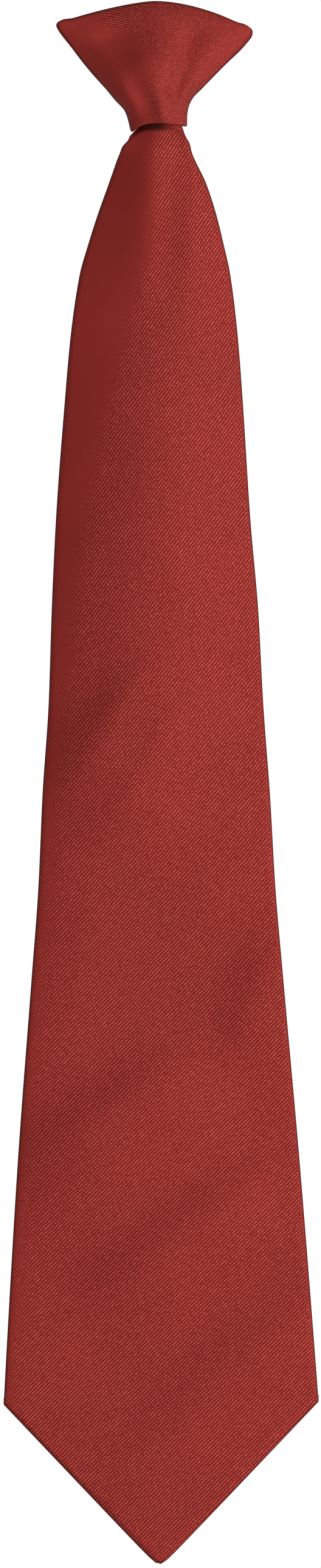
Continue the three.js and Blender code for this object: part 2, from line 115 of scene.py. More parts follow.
# The pressed line, flattened and darkened as painted shade: from which share of the half width and of the
# top's roll it runs.
WING_LINE_FROM = 0.965
WING_LINE_FULL = 0.998
TOP_LINE_FROM = 0.4
MERGE_DISTANCE = 2e-6


def read_table(table, key, at, column):
    """Reads a column of a table at any place between its rows, without overshoot."""
    last = len(table) - 1
    place = min(max(at, table[0][key]), table[last][key])
    after = next(k for k in range(1, last + 1) if table[k][key] >= place)

    def rate(k):
        return (table[k][column] - table[k - 1][column]) / (table[k][key] - table[k - 1][key])

    def slope(k):
        if k == 0:
            return rate(1)
        if k == last:
            return rate(last)
        before, behind = rate(k), rate(k + 1)
        return 0 if before * behind <= 0 else 2 * before * behind / (before + behind)

    step = table[after][key] - table[after - 1][key]
    t = (place - table[after - 1][key]) / step
    start, end = table[after - 1][column], table[after][column]
    bend = slope(after - 1) * t * (1 - t) ** 2 - slope(after) * t * t * (1 - t)
    return start + (end - start) * t * t * (3 - 2 * t) + step * bend


def ease(low, high, at):
    t = min(max((at - low) / (high - low), 0), 1)
    return t * t * (3 - 2 * t)


def fade_between(low, high, fade, at):
    return ease(low - fade, low + fade, at) * (1 - ease(high - fade, high + fade, at))


def bell(offset):
    return math.exp(-offset * offset)


def rim_drop(across):
    drop = RIM_DROP_RIGHT if across > 0 else RIM_DROP_LEFT
    return drop * abs(across) ** RIM_POWER


def arch_drop(across):
    nub = bell((abs(across) - NUB_AT) / NUB_SPREAD)
    if across > 0:
        return ARCH_DROP_RIGHT * across ** ARCH_POWER_RIGHT - NUB_RISE_RIGHT * nub
    return ARCH_DROP_LEFT * abs(across) ** ARCH_POWER_LEFT - NUB_RISE_LEFT * nub


@functools.lru_cache(maxsize=None)
def knot_section(up):
    columns = ("left", "right", "bulge", "taper", "left_taper")
    return [read_table(KNOT_SECTIONS, "up", up, name) for name in columns]


def knot_fold_height(up, across):
    height = 0
    for fold in KNOT_FOLDS:
        centre = fold["rim"] + (fold["top"] - fold["rim"]) * up
        run = fade_between(fold["from"], fold["to"], FOLD_FADE, up)
        height += KNOT_BULGE * fold["height"] * run * bell((across - centre) / fold["spread"])
    return height * (1 - across ** FOLD_SIDE_POWER)


def knot_point(column, row):
    """A point of the knot's outside, from its left side round the front and back to it."""
    back = column > KNOT_COLUMNS
    turn = (2 * KNOT_COLUMNS - column if back else column) / KNOT_COLUMNS
    across = -math.cos(turn * math.pi)
    up = min(row / KNOT_ROWS, 1)
    roll = max(row - KNOT_ROWS, 0) / KNOT_ROLL_ROWS * math.pi / 2
    left, right, bulge, taper, left_taper = knot_section(up)
    x = KNOT_HALF_WIDTH * ((right - left) + across * (right + left)) / 2
    x -= across ** CORNER_POWER * CORNER_ROUNDING * (1 - math.cos(roll))
    edge = KNOT_EDGE * math.sqrt(max(1 - across ** EDGE_SQUARENESS, 0))
    front = KNOT_BULGE * bulge * max(1 - across * across, 0) ** (left_taper if across < 0 else taper)
    front = max(front + knot_fold_height(up, across), 0)
    low = RIM_Z - rim_drop(across)
    high = KNOT_TOP_Z - arch_drop(across) - KNOT_EDGE * TOP_ROLL
    z = low + (high - low) * up + math.sin(roll) * KNOT_EDGE * TOP_ROLL
    depth = edge if back else -(edge + front)
    return Vector((x, KNOT_EDGE_Y + depth * math.cos(roll), z))


def knot_weave(column, row):
    """Where a point of the knot is on its cloth, across and along the ribs, in metres."""
    point = knot_point(column, row)
    if column > KNOT_COLUMNS:
        return (point.z + point.x) * math.sqrt(0.5), (point.z - point.x) * math.sqrt(0.5)
    side = max(point.x, 0) / KNOT_HALF_WIDTH
    run = sum(share * point.x ** (k + 1) for k, share in enumerate(KNOT_RIB_RUN))
    along = KNOT_THREAD_RUN[0] * point.x + KNOT_THREAD_RUN[1] * point.z
    return run + point.z / (1 + KNOT_RIB_STEEPENING * side), along


def knot_rib_strength(column, row):
    """How much the ribs and their painted highlights show, from faint in the shaded fold to 1 where they
    stand out.
    """
    if column > KNOT_COLUMNS:
        return 1
    side = knot_point(column, row).x / KNOT_HALF_WIDTH
    # Fewer painted highlights on the right wing leave it darker as painted shade.
    toning = 1 - RIB_SHADE_RIGHT * ease(RIB_SHADE_FROM, RIB_SHADE_TO, side)
    side += RIBS_LEFT_AT_TOP * ease(RIBS_TURN_LEFT_FROM, 1, row / KNOT_ROWS)
    return RIBS_FAINT + (toning - RIBS_FAINT) * ease(RIBS_START_AT, RIBS_FULL_AT, side)


def knot_edge_line(column, row):
    """How much a point lies on the pressed line along the wings and the top edge, flattened and darkened as
    painted shade.
    """
    turn = abs(math.cos(column / KNOT_COLUMNS * math.pi))
    roll = max(row - KNOT_ROWS, 0) / KNOT_ROLL_ROWS
    return max(ease(WING_LINE_FROM, WING_LINE_FULL, turn), ease(TOP_LINE_FROM, 1, roll))


def make_piece(name, bm):
    mesh = bpy.data.meshes.new(name)
    bm.to_mesh(mesh)
    bm.free()
    piece = bpy.data.objects.new(name, mesh)
    bpy.context.scene.collection.objects.link(piece)
    return piece


def wrap_cloth(name, columns, rows, point, weave, strength, edge_line):
    """Cloth wrapped round to a closed loop, from a grid whose points are put in place."""
    bm = bmesh.new()
    bmesh.ops.create_grid(bm, x_segments=columns, y_segments=rows, size=0.5)
    weave_map = bm.loops.layers.uv.new("weave")
    rib_strength = bm.verts.layers.float.new("rib_strength")
    # The second layer marks the pressed lines, where the ribs are flattened and the colour is darkened as
    # painted shade.
    press_and_painted_shade = bm.verts.layers.float.new("press_and_painted_shade")
    spot = {v: (round((v.co.x + 0.5) * columns), round((v.co.y + 0.5) * rows)) for v in bm.verts}
    for vert, (column, row) in spot.items():
        vert.co = point(column, row)
        vert[rib_strength] = strength(column, row)
        vert[press_and_painted_shade] = edge_line(column, row)
        on_cloth = weave(column, row)
        for loop in vert.link_loops:
            loop[weave_map].uv = on_cloth
    bmesh.ops.remove_doubles(bm, verts=bm.verts, dist=MERGE_DISTANCE)
    bmesh.ops.recalc_face_normals(bm, faces=bm.faces)
    piece = make_piece(name, bm)
    piece.data.shade_smooth()
    return piece


def give_wall(piece, thickness):
    wall = piece.modifiers.new("wall", "SOLIDIFY")
    wall.thickness = thickness
    wall.offset = -1


# The cloth is a dark red twill: satin ribs on the slant, each made of short slanting floats
# of thread, with a furrow between them. The furrow's dark colour is painted shade, the
# threads' and glints' light colours are painted highlights, and the edge colour is painted
# shade. Sizes in metres, colours linear.
RIB_PITCH = 0.00082
KNOT_RIB_PITCH = 0.00071
THREAD_PITCH = 0.0004
FLOAT_LENGTH = 0.0008
SLUB_SWAY = 0.00013
RIB_BUMP = 0.00011
BUMP_STRENGTH = 0.6
EDGE_SHADE_RED = (0.045, 0.006, 0.005, 1)
FURROW_SHADE_RED = (0.17, 0.0145, 0.012, 1)
GROUND_RED = (0.285, 0.0265, 0.022, 1)
THREAD_HIGHLIGHT_RED = (0.4, 0.042, 0.034, 1)
GLINT_HIGHLIGHT_RED = (0.7, 0.11, 0.092, 1)
SHINE_RED = (1, 0.45, 0.4, 1)
SHEEN_RED = (0.9, 0.3, 0.25, 1)
# The relief goes from 0 in a furrow to 1 on a glint. These are the ground's and the thread's
# places in it, the knot's unribbed cloth's, set above the ground as a painted sheen, and
# what each part adds to it.
GROUND_AT = 0.33
THREAD_AT = 0.7
# The knot's unribbed cloth sits higher on the colour ramp than the blade's ground, a painted sheen.
KNOT_SHEEN_GROUND_AT = 0.52
RIB_SHARPNESS = 1.5
FLOAT_LIFT = 2.4
FLOAT_SINK = -0.33
THREAD_RELIEF = 0.07
FUZZ_RELIEF = 0.8
PRESS_FLATTENS = 0.85
# How far a pressed line's colour goes towards the edge colour, a painted shade.
EDGE_SHADE_STRENGTH = 0.8
CLOUD_SHADE = 0.1
CLOTH_ROUGHNESS = 0.7
RELIEF_GLOSS = 0.14


def add_math(nodes, links, operation, first, second=None, third=None):
    node = nodes.new("ShaderNodeMath")
    node.operation = operation
    for socket, value in zip(node.inputs, (first, second, third)):
        if isinstance(value, bpy.types.NodeSocket):
            links.new(value, socket)
        elif value is not None:
            socket.default_value = value
    return node.outputs[0]


def add_noise(nodes, links, place, scale, detail):
    node = nodes.new("ShaderNodeTexNoise")
    node.inputs["Scale"].default_value = scale
    node.inputs["Detail"].default_value = detail
    links.new(place, node.inputs["Vector"])
    return node.outputs["Fac"]


def twill(name, rib_pitch, smooth_at):
    """The tie cloth. Where its ribs fade out, all of it has the relief of smooth cloth."""
    material = bpy.data.materials.new(name)
    material.use_nodes = True
    nodes, links = material.node_tree.nodes, material.node_tree.links
    shader = nodes["Principled BSDF"]
    shader.inputs["Specular IOR Level"].default_value = 0.12
    shader.inputs["Specular Tint"].default_value = SHINE_RED
    shader.inputs["Sheen Weight"].default_value = 0.02
    shader.inputs["Sheen Roughness"].default_value = 0.4
    shader.inputs["Sheen Tint"].default_value = SHEEN_RED

    def calc(operation, first, second=None, third=None):
        return add_math(nodes, links, operation, first, second, third)

    place = nodes.new("ShaderNodeTexCoord").outputs["Object"]
    weave_map = nodes.new("ShaderNodeUVMap")
    weave_map.uv_map = "weave"
    split = nodes.new("ShaderNodeSeparateXYZ")
    links.new(weave_map.outputs["UV"], split.inputs[0])
    slub = add_noise(nodes, links, place, 900, 3)
    wander = calc("MULTIPLY_ADD", slub, SLUB_SWAY, split.outputs["X"])
    turn = calc("MULTIPLY", wander, 2 * math.pi / rib_pitch)
    rib = calc("MULTIPLY_ADD", calc("SINE", turn), 0.5, 0.5)
    along = calc("MULTIPLY", split.outputs["Y"], 2 * math.pi / THREAD_PITCH)
    thread = calc("SINE", calc("MULTIPLY_ADD", turn, 0.5, along))
    on_floats = nodes.new("ShaderNodeVectorMath")
    on_floats.operation = "MULTIPLY"
    on_floats.inputs[1].default_value = (1 / rib_pitch, 1 / FLOAT_LENGTH, 1)
    links.new(weave_map.outputs["UV"], on_floats.inputs[0])
    floats = add_noise(nodes, links, on_floats.outputs[0], 1.7, 1.5)
    lifted = calc("MULTIPLY_ADD", floats, FLOAT_LIFT, FLOAT_SINK)
    crest = calc("MULTIPLY", calc("POWER", rib, RIB_SHARPNESS), lifted)
    ribs = calc("MULTIPLY_ADD", thread, THREAD_RELIEF, crest)
    fuzz = add_noise(nodes, links, place, 2400, 2)
    height = calc("ADD", ribs, calc("MULTIPLY_ADD", fuzz, FUZZ_RELIEF, -FUZZ_RELIEF / 2))
    strength = nodes.new("ShaderNodeAttribute")
    strength.attribute_name = "rib_strength"
    edge = nodes.new("ShaderNodeAttribute")
    edge.attribute_name = "press_and_painted_shade"
    left_by_press = calc("MULTIPLY_ADD", edge.outputs["Fac"], -PRESS_FLATTENS, 1)
    shown = calc("MULTIPLY", calc("SUBTRACT", height, smooth_at), strength.outputs["Fac"])
    relief = calc("MULTIPLY_ADD", shown, left_by_press, smooth_at)

    # The colour follows the relief: furrows darkened as painted shade, threads and glints lightened as
    # painted highlights.
    colour = nodes.new("ShaderNodeValToRGB")
    colour.color_ramp.elements[0].position = 0.0
    colour.color_ramp.elements[0].color = FURROW_SHADE_RED
    colour.color_ramp.elements[1].position = 1.0
    colour.color_ramp.elements[1].color = GLINT_HIGHLIGHT_RED
    for at, red in ((GROUND_AT, GROUND_RED), (THREAD_AT, THREAD_HIGHLIGHT_RED)):
        colour.color_ramp.elements.new(at).color = red
    links.new(relief, colour.inputs["Fac"])
    shade = nodes.new("ShaderNodeMapRange")
    shade.inputs["To Min"].default_value = 1 - CLOUD_SHADE
    shade.inputs["To Max"].default_value = 1 + CLOUD_SHADE
    links.new(add_noise(nodes, links, place, 38, 4), shade.inputs["Value"])
    toning = nodes.new("ShaderNodeMix")
    toning.data_type = "RGBA"
    toning.blend_type = "MULTIPLY"
    toning.inputs["Factor"].default_value = 1
    links.new(colour.outputs["Color"], toning.inputs["A"])
    links.new(shade.outputs["Result"], toning.inputs["B"])
    # The pressed lines and the throat under the knot's rim are darkened towards the edge colour, a painted
    # shade.
    edge_shade_mix = nodes.new("ShaderNodeMix")
    edge_shade_mix.data_type = "RGBA"
    edge_shade_mix.inputs["B"].default_value = EDGE_SHADE_RED
    links.new(calc("MULTIPLY", edge.outputs["Fac"], EDGE_SHADE_STRENGTH), edge_shade_mix.inputs["Factor"])
    links.new(toning.outputs["Result"], edge_shade_mix.inputs["A"])
    links.new(edge_shade_mix.outputs["Result"], shader.inputs["Base Color"])

    bump = nodes.new("ShaderNodeBump")
    bump.inputs["Strength"].default_value = BUMP_STRENGTH
    bump.inputs["Distance"].default_value = RIB_BUMP
    links.new(relief, bump.inputs["Height"])
    links.new(bump.outputs["Normal"], shader.inputs["Normal"])
    roughness = calc("MULTIPLY_ADD", relief, -RELIEF_GLOSS, CLOTH_ROUGHNESS)
    links.new(roughness, shader.inputs["Roughness"])
    return material


knot = wrap_cloth("knot_cloth", 2 * KNOT_COLUMNS, KNOT_ROWS + KNOT_ROLL_ROWS, knot_point, knot_weave,
                  knot_rib_strength, knot_edge_line)
give_wall(knot, KNOT_WALL)
knot_smooth = knot.modifiers.new("smooth", "SUBSURF")
knot_smooth.levels = 1
knot_smooth.render_levels = 1
knot.data.materials.append(twill("knot_twill", KNOT_RIB_PITCH, KNOT_SHEEN_GROUND_AT))
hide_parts("knot")
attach(knot, "root")


# The blade is one length of the same cloth, cut on the slant and folded to the back over a
# soft core. Its two flaps lap along a slip-stitched seam and part into an inverted V above
# the point, whose edges are hemmed. Its neck goes up inside the knot and is held there.
BLADE_LENGTH = 0.3693
BLADE_HALF_WIDTH = 0.046
BLADE_THICKNESS = 0.0038
BLADE_WALL = 0.0009
BLADE_BOW = 0.0064
ROLL_REACH = 0.0008
TIP_HEIGHT = 0.0473
TIP_SLANT = 0.0009
NECK_RISE = 0.022
NECK_THICKNESS = 0.0046
NECK_SIDE_GAP = 0.0014
NECK_RIM_GAP = 0.0002
NECK_FLARE = 0.0006
NECK_ROWS = 4
JUST_ABOVE_RIM = -1e-6
ARCH_FADE = 0.03
TIP_START = 0.7
TIP_AT = -0.01
TIP_SOFTNESS = 0.03
DENT_FADE = 0.35
DENT_START = 0.006
BLADE_ROWS = 250
ROW_CROWDING = 1.35
HEM_ROWS = 5
TIP_ROLL_ROWS = 4
# How the flaps lie: the seam's place, the lapping flap's lift and over what width it dies
# away, the depth of the crease and of the opening below it, and the hem.
SEAM_X = 0.0022
SEAM_HALF_WIDTH = 0.00015
LAP_LIFT = 0.0005
LAP_WIDTH = 0.014
CREASE_DEPTH = 0.0002
OPENING_DEPTH = 0.0006
OPENING_LENGTH = 0.066
STEP_WIDTH = 0.00025
OPENING_FADE_ABOVE = 0.002
OPENING_FADE_BELOW = 0.004
OPENING_MARGIN = 0.05
FLAP_MARGIN = 0.02
LAP_START = 0.02
HEM_WIDTH = 0.008
HEM_LIFT = 0.00025
HEM_STEP = 0.0012
# Columns of the grid in each part of the loop, from the seam round the front and back to it.
FRONT_COLUMNS = 56
ROLL_COLUMNS = 8
OPENING_COLUMNS = 9
FLAP_COLUMNS = FRONT_COLUMNS // 2 - OPENING_COLUMNS - 1
# Sections from the throat down: the sides as shares of half the blade's width, the bow as a
# share of BLADE_BOW, where its crest lies from -1 at the left side to 1 at the right and how
# round it is, how far the edges lie in front of the knot's back as a share of KNOT_BULGE, and
# the thickness as a share of the blade's own.
SECTION_COLUMNS = ("down", "left", "right", "bow", "crest", "roundness", "forward", "thickness")
SECTION_ROWS = [
    (0.0, 0.132, 0.183, 0.34, 0.1, 0.35, 0.425, 1.2),
    (0.003, 0.155, 0.19, 0.4, 0.09, 0.35, 0.42, 1.2),
    (0.006, 0.177, 0.2, 0.46, 0.08, 0.35, 0.415, 1.2),
    (0.0115, 0.204, 0.223, 0.6, 0.04, 0.35, 0.4, 1.2),
    (0.02, 0.222, 0.238, 0.78, -0.02, 0.35, 0.36, 1.18),
    (0.045, 0.29, 0.329, 0.95, -0.1, 0.2, 0.28, 1.12),
    (0.0686, 0.358, 0.391, 1.0, -0.1, 0.16, 0.25, 1.08),
    (0.0926, 0.42, 0.439, 1.02, -0.1, 0.16, 0.23, 1.05),
    (0.1165, 0.474, 0.481, 1.0, -0.1, 0.2, 0.22, 1.03),
    (0.1645, 0.531, 0.528, 0.95, -0.02, 0.45, 0.21, 1.0),
    (0.2125, 0.566, 0.558, 1.0, -0.08, 0.6, 0.2, 1.0),
    (0.3084, 0.624, 0.608, 1.1, -0.15, 0.7, 0.19, 1.0),
    (0.38, 0.651, 0.658, 1.02, -0.2, 0.8, 0.18, 1.0),
    (0.452, 0.67, 0.689, 0.85, -0.25, 0.9, 0.17, 1.0),
    (0.524, 0.709, 0.732, 0.6, -0.35, 1.0, 0.16, 1.0),
    (0.596, 0.735, 0.766, 0.42, -0.45, 0.9, 0.155, 1.0),
    (0.668, 0.778, 0.816, 0.3, -0.5, 0.8, 0.15, 1.0),
    (0.812, 0.866, 0.92, 0.14, -0.6, 0.8, 0.14, 1.0),
    (0.956, 0.936, 1.013, 0.08, -0.6, 0.8, 0.13, 1.0),
    (1.0, 0.955, 1.04, 0.06, -0.6, 0.8, 0.13, 1.0),
]
BLADE_SECTIONS = [dict(zip(SECTION_COLUMNS, row)) for row in SECTION_ROWS]
# Soft folds on the front, each along a line from one place to another, with its half width
# on its steep left side and on its gentle right side, and its height. All in metres, places
# as x and z.
BLADE_DENTS = [
    {"from": (0.0135, -0.0329), "to": (0.0103, -0.0834), "steep": 0.006, "gentle": 0.01, "height": 0.0028},
    {"from": (0.0087, -0.0324), "to": (0.0113, -0.0423), "steep": 0.002, "gentle": 0.002, "height": 0.0007},
    {"from": (-0.0074, -0.0329), "to": (-0.0103, -0.0391), "steep": 0.003, "gentle": 0.003, "height": 0.0006},
    {"from": (0.0081, -0.0905), "to": (0.0055, -0.1932), "steep": 0.014, "gentle": 0.022, "height": 0.0018},
    {"from": (-0.0317, -0.3299), "to": (0.0108, -0.3062), "steep": 0.009, "gentle": 0.026, "height": 0.0044},
    {"from": (0.0251, -0.303), "to": (0.0363, -0.2693), "steep": 0.009, "gentle": 0.02, "height": 0.003},
    {"from": (-0.0113, -0.3685), "to": (0.0326, -0.3388), "steep": 0.009, "gentle": 0.026, "height": 0.0046},
    {"from": (-0.0069, -0.4234), "to": (0.0471, -0.3721), "steep": 0.011, "gentle": 0.026, "height": 0.0028},
    {"from": (-0.0237, -0.2238), "to": (-0.0007, -0.1888), "steep": 0.008, "gentle": 0.02, "height": 0.0027},
    {"from": (-0.0122, -0.2366), "to": (0.0108, -0.1989), "steep": 0.007, "gentle": 0.016, "height": 0.0021},
]
# A faint ripple all over, drawn out along the ribs, in metres.
RIPPLE_HEIGHT = 0.0004
RIPPLE_LENGTH = 0.06
RIPPLE_WIDTH = 0.022
# The ribs slant at this angle near the point and turn steeper up the blade, per metre.
RIB_ANGLE = math.radians(45)
RIB_TURN = math.radians(44)
RIB_TURN_FROM_Z = -0.31
# The side edges' slant is taken over this share of the blade's length up and down.
EDGE_SPAN = 0.03
# The shaded left slope's right border, where the ribs' relief and painted highlights give
# out, from -1 at the left side to 1 at the right, how far down the blade it keeps that place,
# how soon it then comes to the left side, and how far the ribs take to come up across it.
SHADED_SLOPE_EDGE = -0.1
SHADED_SLOPE_LENGTH = 0.1
SHADED_SLOPE_DECAY = 0.18
SHADED_BORDER_LEFT = 0.16
SHADED_BORDER_RIGHT = 0.14
# The pressed lines, flattened and darkened as painted shade: how far down the blade the
# painted shadow under the knot's rim reaches, how dark it is and how it fades to the right,
# the stretch of the side's roll, and the roll at the point and how dark it is.
THROAT_LINE = 0.0042
THROAT_SHADE_DARKNESS = 1.2
THROAT_LINE_FADE = (-1.1, 0.1)
SIDE_LINE_FROM = 0.5
SIDE_LINE_FULL = 0.95
POINT_LINE_FROM = 0.5
POINT_SHADE_DARKNESS = 0.7
SHARP_ANGLE = math.radians(40)


def soft_distance(offset, softness):
    return math.hypot(offset, softness) - softness


@functools.lru_cache(maxsize=None)
def blade_section(down):
    left, right, bow, crest, roundness, forward, thickness = [
        read_table(BLADE_SECTIONS, "down", down, name) for name in SECTION_COLUMNS[1:]]
    left, right = -BLADE_HALF_WIDTH * left, BLADE_HALF_WIDTH * right
    thickness *= BLADE_THICKNESS
    if down < 0:
        left = -KNOT_HALF_WIDTH * KNOT_SECTIONS[0]["left"] + NECK_SIDE_GAP
        right = KNOT_HALF_WIDTH * KNOT_SECTIONS[0]["right"] - NECK_SIDE_GAP
        thickness = NECK_THICKNESS
    return left, right, BLADE_BOW * bow, crest, roundness, KNOT_BACK_Y - KNOT_BULGE * forward, thickness


def fold_rise(x, z):
    """How far the soft folds and the ripple raise the blade's front at a place."""
    height = 0
    for fold in BLADE_DENTS:
        start, run = Vector(fold["from"]), Vector(fold["to"]) - Vector(fold["from"])
        offset = Vector((x, z)) - start
        along = offset.dot(run) / run.length_squared
        off = (offset.x * run.y - offset.y * run.x) / run.length
        off *= 1 if run.y > 0 else -1
        off /= fold["steep"] if off < 0 else fold["gentle"]
        height += fold["height"] * fade_between(0, 1, DENT_FADE, along) * bell(off)
    ripple = Vector(((x + z) / RIPPLE_LENGTH, (x - z) / RIPPLE_WIDTH, 0.5))
    return height + RIPPLE_HEIGHT * noise.noise(ripple)


def blade_place(down, across, through):
    """A point of the blade: down its length, across it, and through it towards the back."""
    left, right, bow, crest, roundness, edge_y, thickness = blade_section(down)
    below = max(down, 0)
    x = left + (right - left) * (across + 1) / 2
    side = 1 + crest if across < crest else 1 - crest
    crown = 1 - soft_distance(across - crest, roundness) / soft_distance(side, roundness)
    arch = rim_drop(across) * (1 - ease(0, ARCH_FADE, below))
    run = BLADE_LENGTH + RIM_DROP_LEFT - NECK_RIM_GAP - NECK_FLARE
    line = -down * NECK_RISE if down < 0 else -(NECK_FLARE + below * run)
    reach = 1 + TIP_AT if across < TIP_AT else 1 - TIP_AT
    to_side = soft_distance(across - TIP_AT, TIP_SOFTNESS) / soft_distance(reach, TIP_SOFTNESS)
    point = TIP_HEIGHT * (1 - to_side)
    point += TIP_SLANT * max(-across, 0)
    z = RIM_Z - NECK_RIM_GAP - arch + line - point * ease(TIP_START, 1, below)
    front = bow * crown + fold_rise(x, z) * ease(0, DENT_START, below)
    return Vector((x, edge_y - front + through, z))


HEM_DOWN = 1 - HEM_WIDTH * math.sqrt(2) / BLADE_LENGTH
OPENING_DOWN = HEM_DOWN - OPENING_LENGTH / BLADE_LENGTH


@functools.lru_cache(maxsize=None)
def blade_rows():
    """Each row's place down the blade, and how far it has turned round the point's edge."""
    rows = [(-1 + k / NECK_ROWS, 0) for k in range(NECK_ROWS)] + [(JUST_ABOVE_RIM, 0)]
    rows += [(HEM_DOWN * (k / BLADE_ROWS) ** ROW_CROWDING, 0) for k in range(BLADE_ROWS + 1)]
    hem_top = HEM_DOWN + HEM_STEP / BLADE_LENGTH
    rows += [(hem_top + (1 - hem_top) * k / HEM_ROWS, 0) for k in range(HEM_ROWS + 1)]
    rows += [(1, k / TIP_ROLL_ROWS * math.pi / 2) for k in range(1, TIP_ROLL_ROWS + 1)]
    return rows


@functools.lru_cache(maxsize=None)
def blade_loop():
    """Each column's part of the loop, its share through that part, and its side."""
    half = [("opening", k / OPENING_COLUMNS, -1) for k in range(OPENING_COLUMNS + 1)]
    half += [("flap", k / FLAP_COLUMNS, -1) for k in range(FLAP_COLUMNS + 1)]
    half += [("roll", k / ROLL_COLUMNS, -1) for k in range(1, ROLL_COLUMNS)]
    front = [("front", 2 * k / FRONT_COLUMNS - 1, 0) for k in range(FRONT_COLUMNS + 1)]
    return half + front + [(part, share, 1) for part, share, _side in reversed(half)]


def meet_front(across, column, flat, down):
    """Brings the back's columns over the front's at the point, where both close on one line."""
    columns = len(blade_loop())
    place = min(column, columns - 1 - column) * 2 / FRONT_COLUMNS
    side = -1 if column < columns / 2 else 1
    return across + (side * flat * place - across) * ease(HEM_DOWN + HEM_STEP / BLADE_LENGTH, 1, down)


def blade_spot(column, row):
    """Across the blade, through it, and how far round the loop's own cloth, in metres."""
    part, share, side = blade_loop()[column]
    down, _turned = blade_rows()[row]
    left, right, _bow, _crest, _roundness, _edge_y, thickness = blade_section(down)
    half_width = (right - left) / 2
    radius = thickness / 2
    flat = 1 - ROLL_REACH / half_width
    if part == "front":
        return share * flat, -radius, share * flat * half_width
    if part == "roll":
        turn = (1 - share) * math.pi
        cloth = flat * half_width + radius * turn
        reach = flat + math.sin(turn) * ROLL_REACH / half_width
        return side * reach, -radius * math.cos(turn), side * cloth
    lowered = ease(OPENING_DOWN - OPENING_FADE_ABOVE, OPENING_DOWN + OPENING_FADE_BELOW, down)
    opening = max(down - OPENING_DOWN, 0) / (HEM_DOWN - OPENING_DOWN)
    opened = opening * (1 - HEM_WIDTH / BLADE_HALF_WIDTH - OPENING_MARGIN)
    opened += SEAM_HALF_WIDTH / half_width
    middle = (SEAM_X - (left + right) / 2) / half_width if down >= 0 else 0
    hemmed = ease(HEM_DOWN, HEM_DOWN + HEM_STEP / BLADE_LENGTH, down)
    edge = max(min(middle + side * opened, flat - FLAP_MARGIN), FLAP_MARGIN - flat)
    lift = LAP_LIFT if side > 0 else 0
    if part == "opening":
        across = middle + (edge - middle) * share
        depth = CREASE_DEPTH + (OPENING_DEPTH - CREASE_DEPTH) * lowered
        through = -depth * (1 - hemmed) + HEM_LIFT * hemmed
    else:
        edge += side * STEP_WIDTH / half_width
        across = edge + (side * flat - edge) * share
        gone = abs(across - edge) * half_width / LAP_WIDTH
        through = lift * (1 - ease(0, 1, gone)) * (1 - hemmed) * ease(0, LAP_START, down)
        through += HEM_LIFT * hemmed * (1 - share)
    across = meet_front(across, column, flat, down)
    return across, radius + through, side * (2 * flat * half_width + math.pi * radius) - across * half_width


def blade_point(column, row):
    across, through, _cloth = blade_spot(column, row)
    down, turned = blade_rows()[row]
    point = blade_place(down, across, through * math.cos(turned))
    point.z += BLADE_THICKNESS / 2 * (1 - math.sin(turned)) if down >= 1 else 0
    return point


def edge_slope(row):
    """How fast the side edges part down the blade, over which the flaps are folded back."""
    down = max(blade_rows()[row][0], EDGE_SPAN)
    above, below = blade_section(down - EDGE_SPAN), blade_section(min(down + EDGE_SPAN, 1))
    widened = (below[1] - below[0] - above[1] + above[0]) / 2
    return widened / ((min(down + EDGE_SPAN, 1) - down + EDGE_SPAN) * BLADE_LENGTH)


def blade_weave(column, row):
    """Where a point of the blade is on its cloth, across and along the ribs, in metres."""
    part, _share, side = blade_loop()[column]
    left, right, *_rest, thickness = blade_section(blade_rows()[row][0])
    x = blade_spot(column, row)[2]
    z = blade_point(column, row).z
    if part in ("flap", "opening"):
        edge = (right - left) / 2 - ROLL_REACH + thickness / 2 * math.pi
        spread = 2 * math.atan(edge_slope(row))
        z += (abs(x) - edge) * math.sin(spread)
        x = side * (edge + (abs(x) - edge) * math.cos(spread))
    x += (left + right) / 2
    above = max(z - RIB_TURN_FROM_Z, 0)
    angle = RIB_ANGLE + RIB_TURN * above
    turned_run = (math.sin(angle) - math.sin(RIB_ANGLE)) / RIB_TURN
    run = turned_run + math.cos(RIB_ANGLE) * min(z - RIB_TURN_FROM_Z, 0)
    return x * math.sin(angle) - run, x * math.cos(angle) + z * math.sin(angle)


def blade_rib_strength(column, row):
    """The ribs and their painted highlights hardly show on the shaded left slope, which narrows down the
    blade.
    """
    part, share, _side = blade_loop()[column]
    if part != "front":
        return 1
    below = max(blade_rows()[row][0] - SHADED_SLOPE_LENGTH, 0)
    end = SHADED_SLOPE_EDGE - (1 + SHADED_SLOPE_EDGE) * (1 - math.exp(-below / SHADED_SLOPE_DECAY))
    return RIBS_FAINT + (1 - RIBS_FAINT) * ease(end - SHADED_BORDER_LEFT, end + SHADED_BORDER_RIGHT, share)


def blade_edge_line(column, row):
    """How much a point lies on a pressed line, flattened and darkened as painted shade: at the side edges,
    the point, and the throat, where it paints the shadow under the knot's rim.
    """
    part, share, _side = blade_loop()[column]
    turned = blade_rows()[row][1]
    line = POINT_SHADE_DARKNESS * ease(POINT_LINE_FROM, 1, math.sin(turned))
    if part == "roll":
        line = max(line, ease(SIDE_LINE_FROM, SIDE_LINE_FULL, math.sin(share * math.pi)))
    if part == "front":
        # Under the knot's rim the cloth is darkened as a painted shadow, strongest on the left.
        reached = 1 - ease(THROAT_LINE / 3, THROAT_LINE, blade_rows()[row][0])
        line = max(line, reached * THROAT_SHADE_DARKNESS * ease(*THROAT_LINE_FADE, -share))
    return line


blade = wrap_cloth("blade_cloth", len(blade_loop()) - 1, len(blade_rows()) - 1, blade_point, blade_weave,
                   blade_rib_strength, blade_edge_line)
blade.data.set_sharp_from_angle(angle=SHARP_ANGLE)
give_wall(blade, BLADE_WALL)
blade.data.materials.append(twill("blade_twill", RIB_PITCH, GROUND_AT))
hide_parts("blade")
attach(blade, "root")


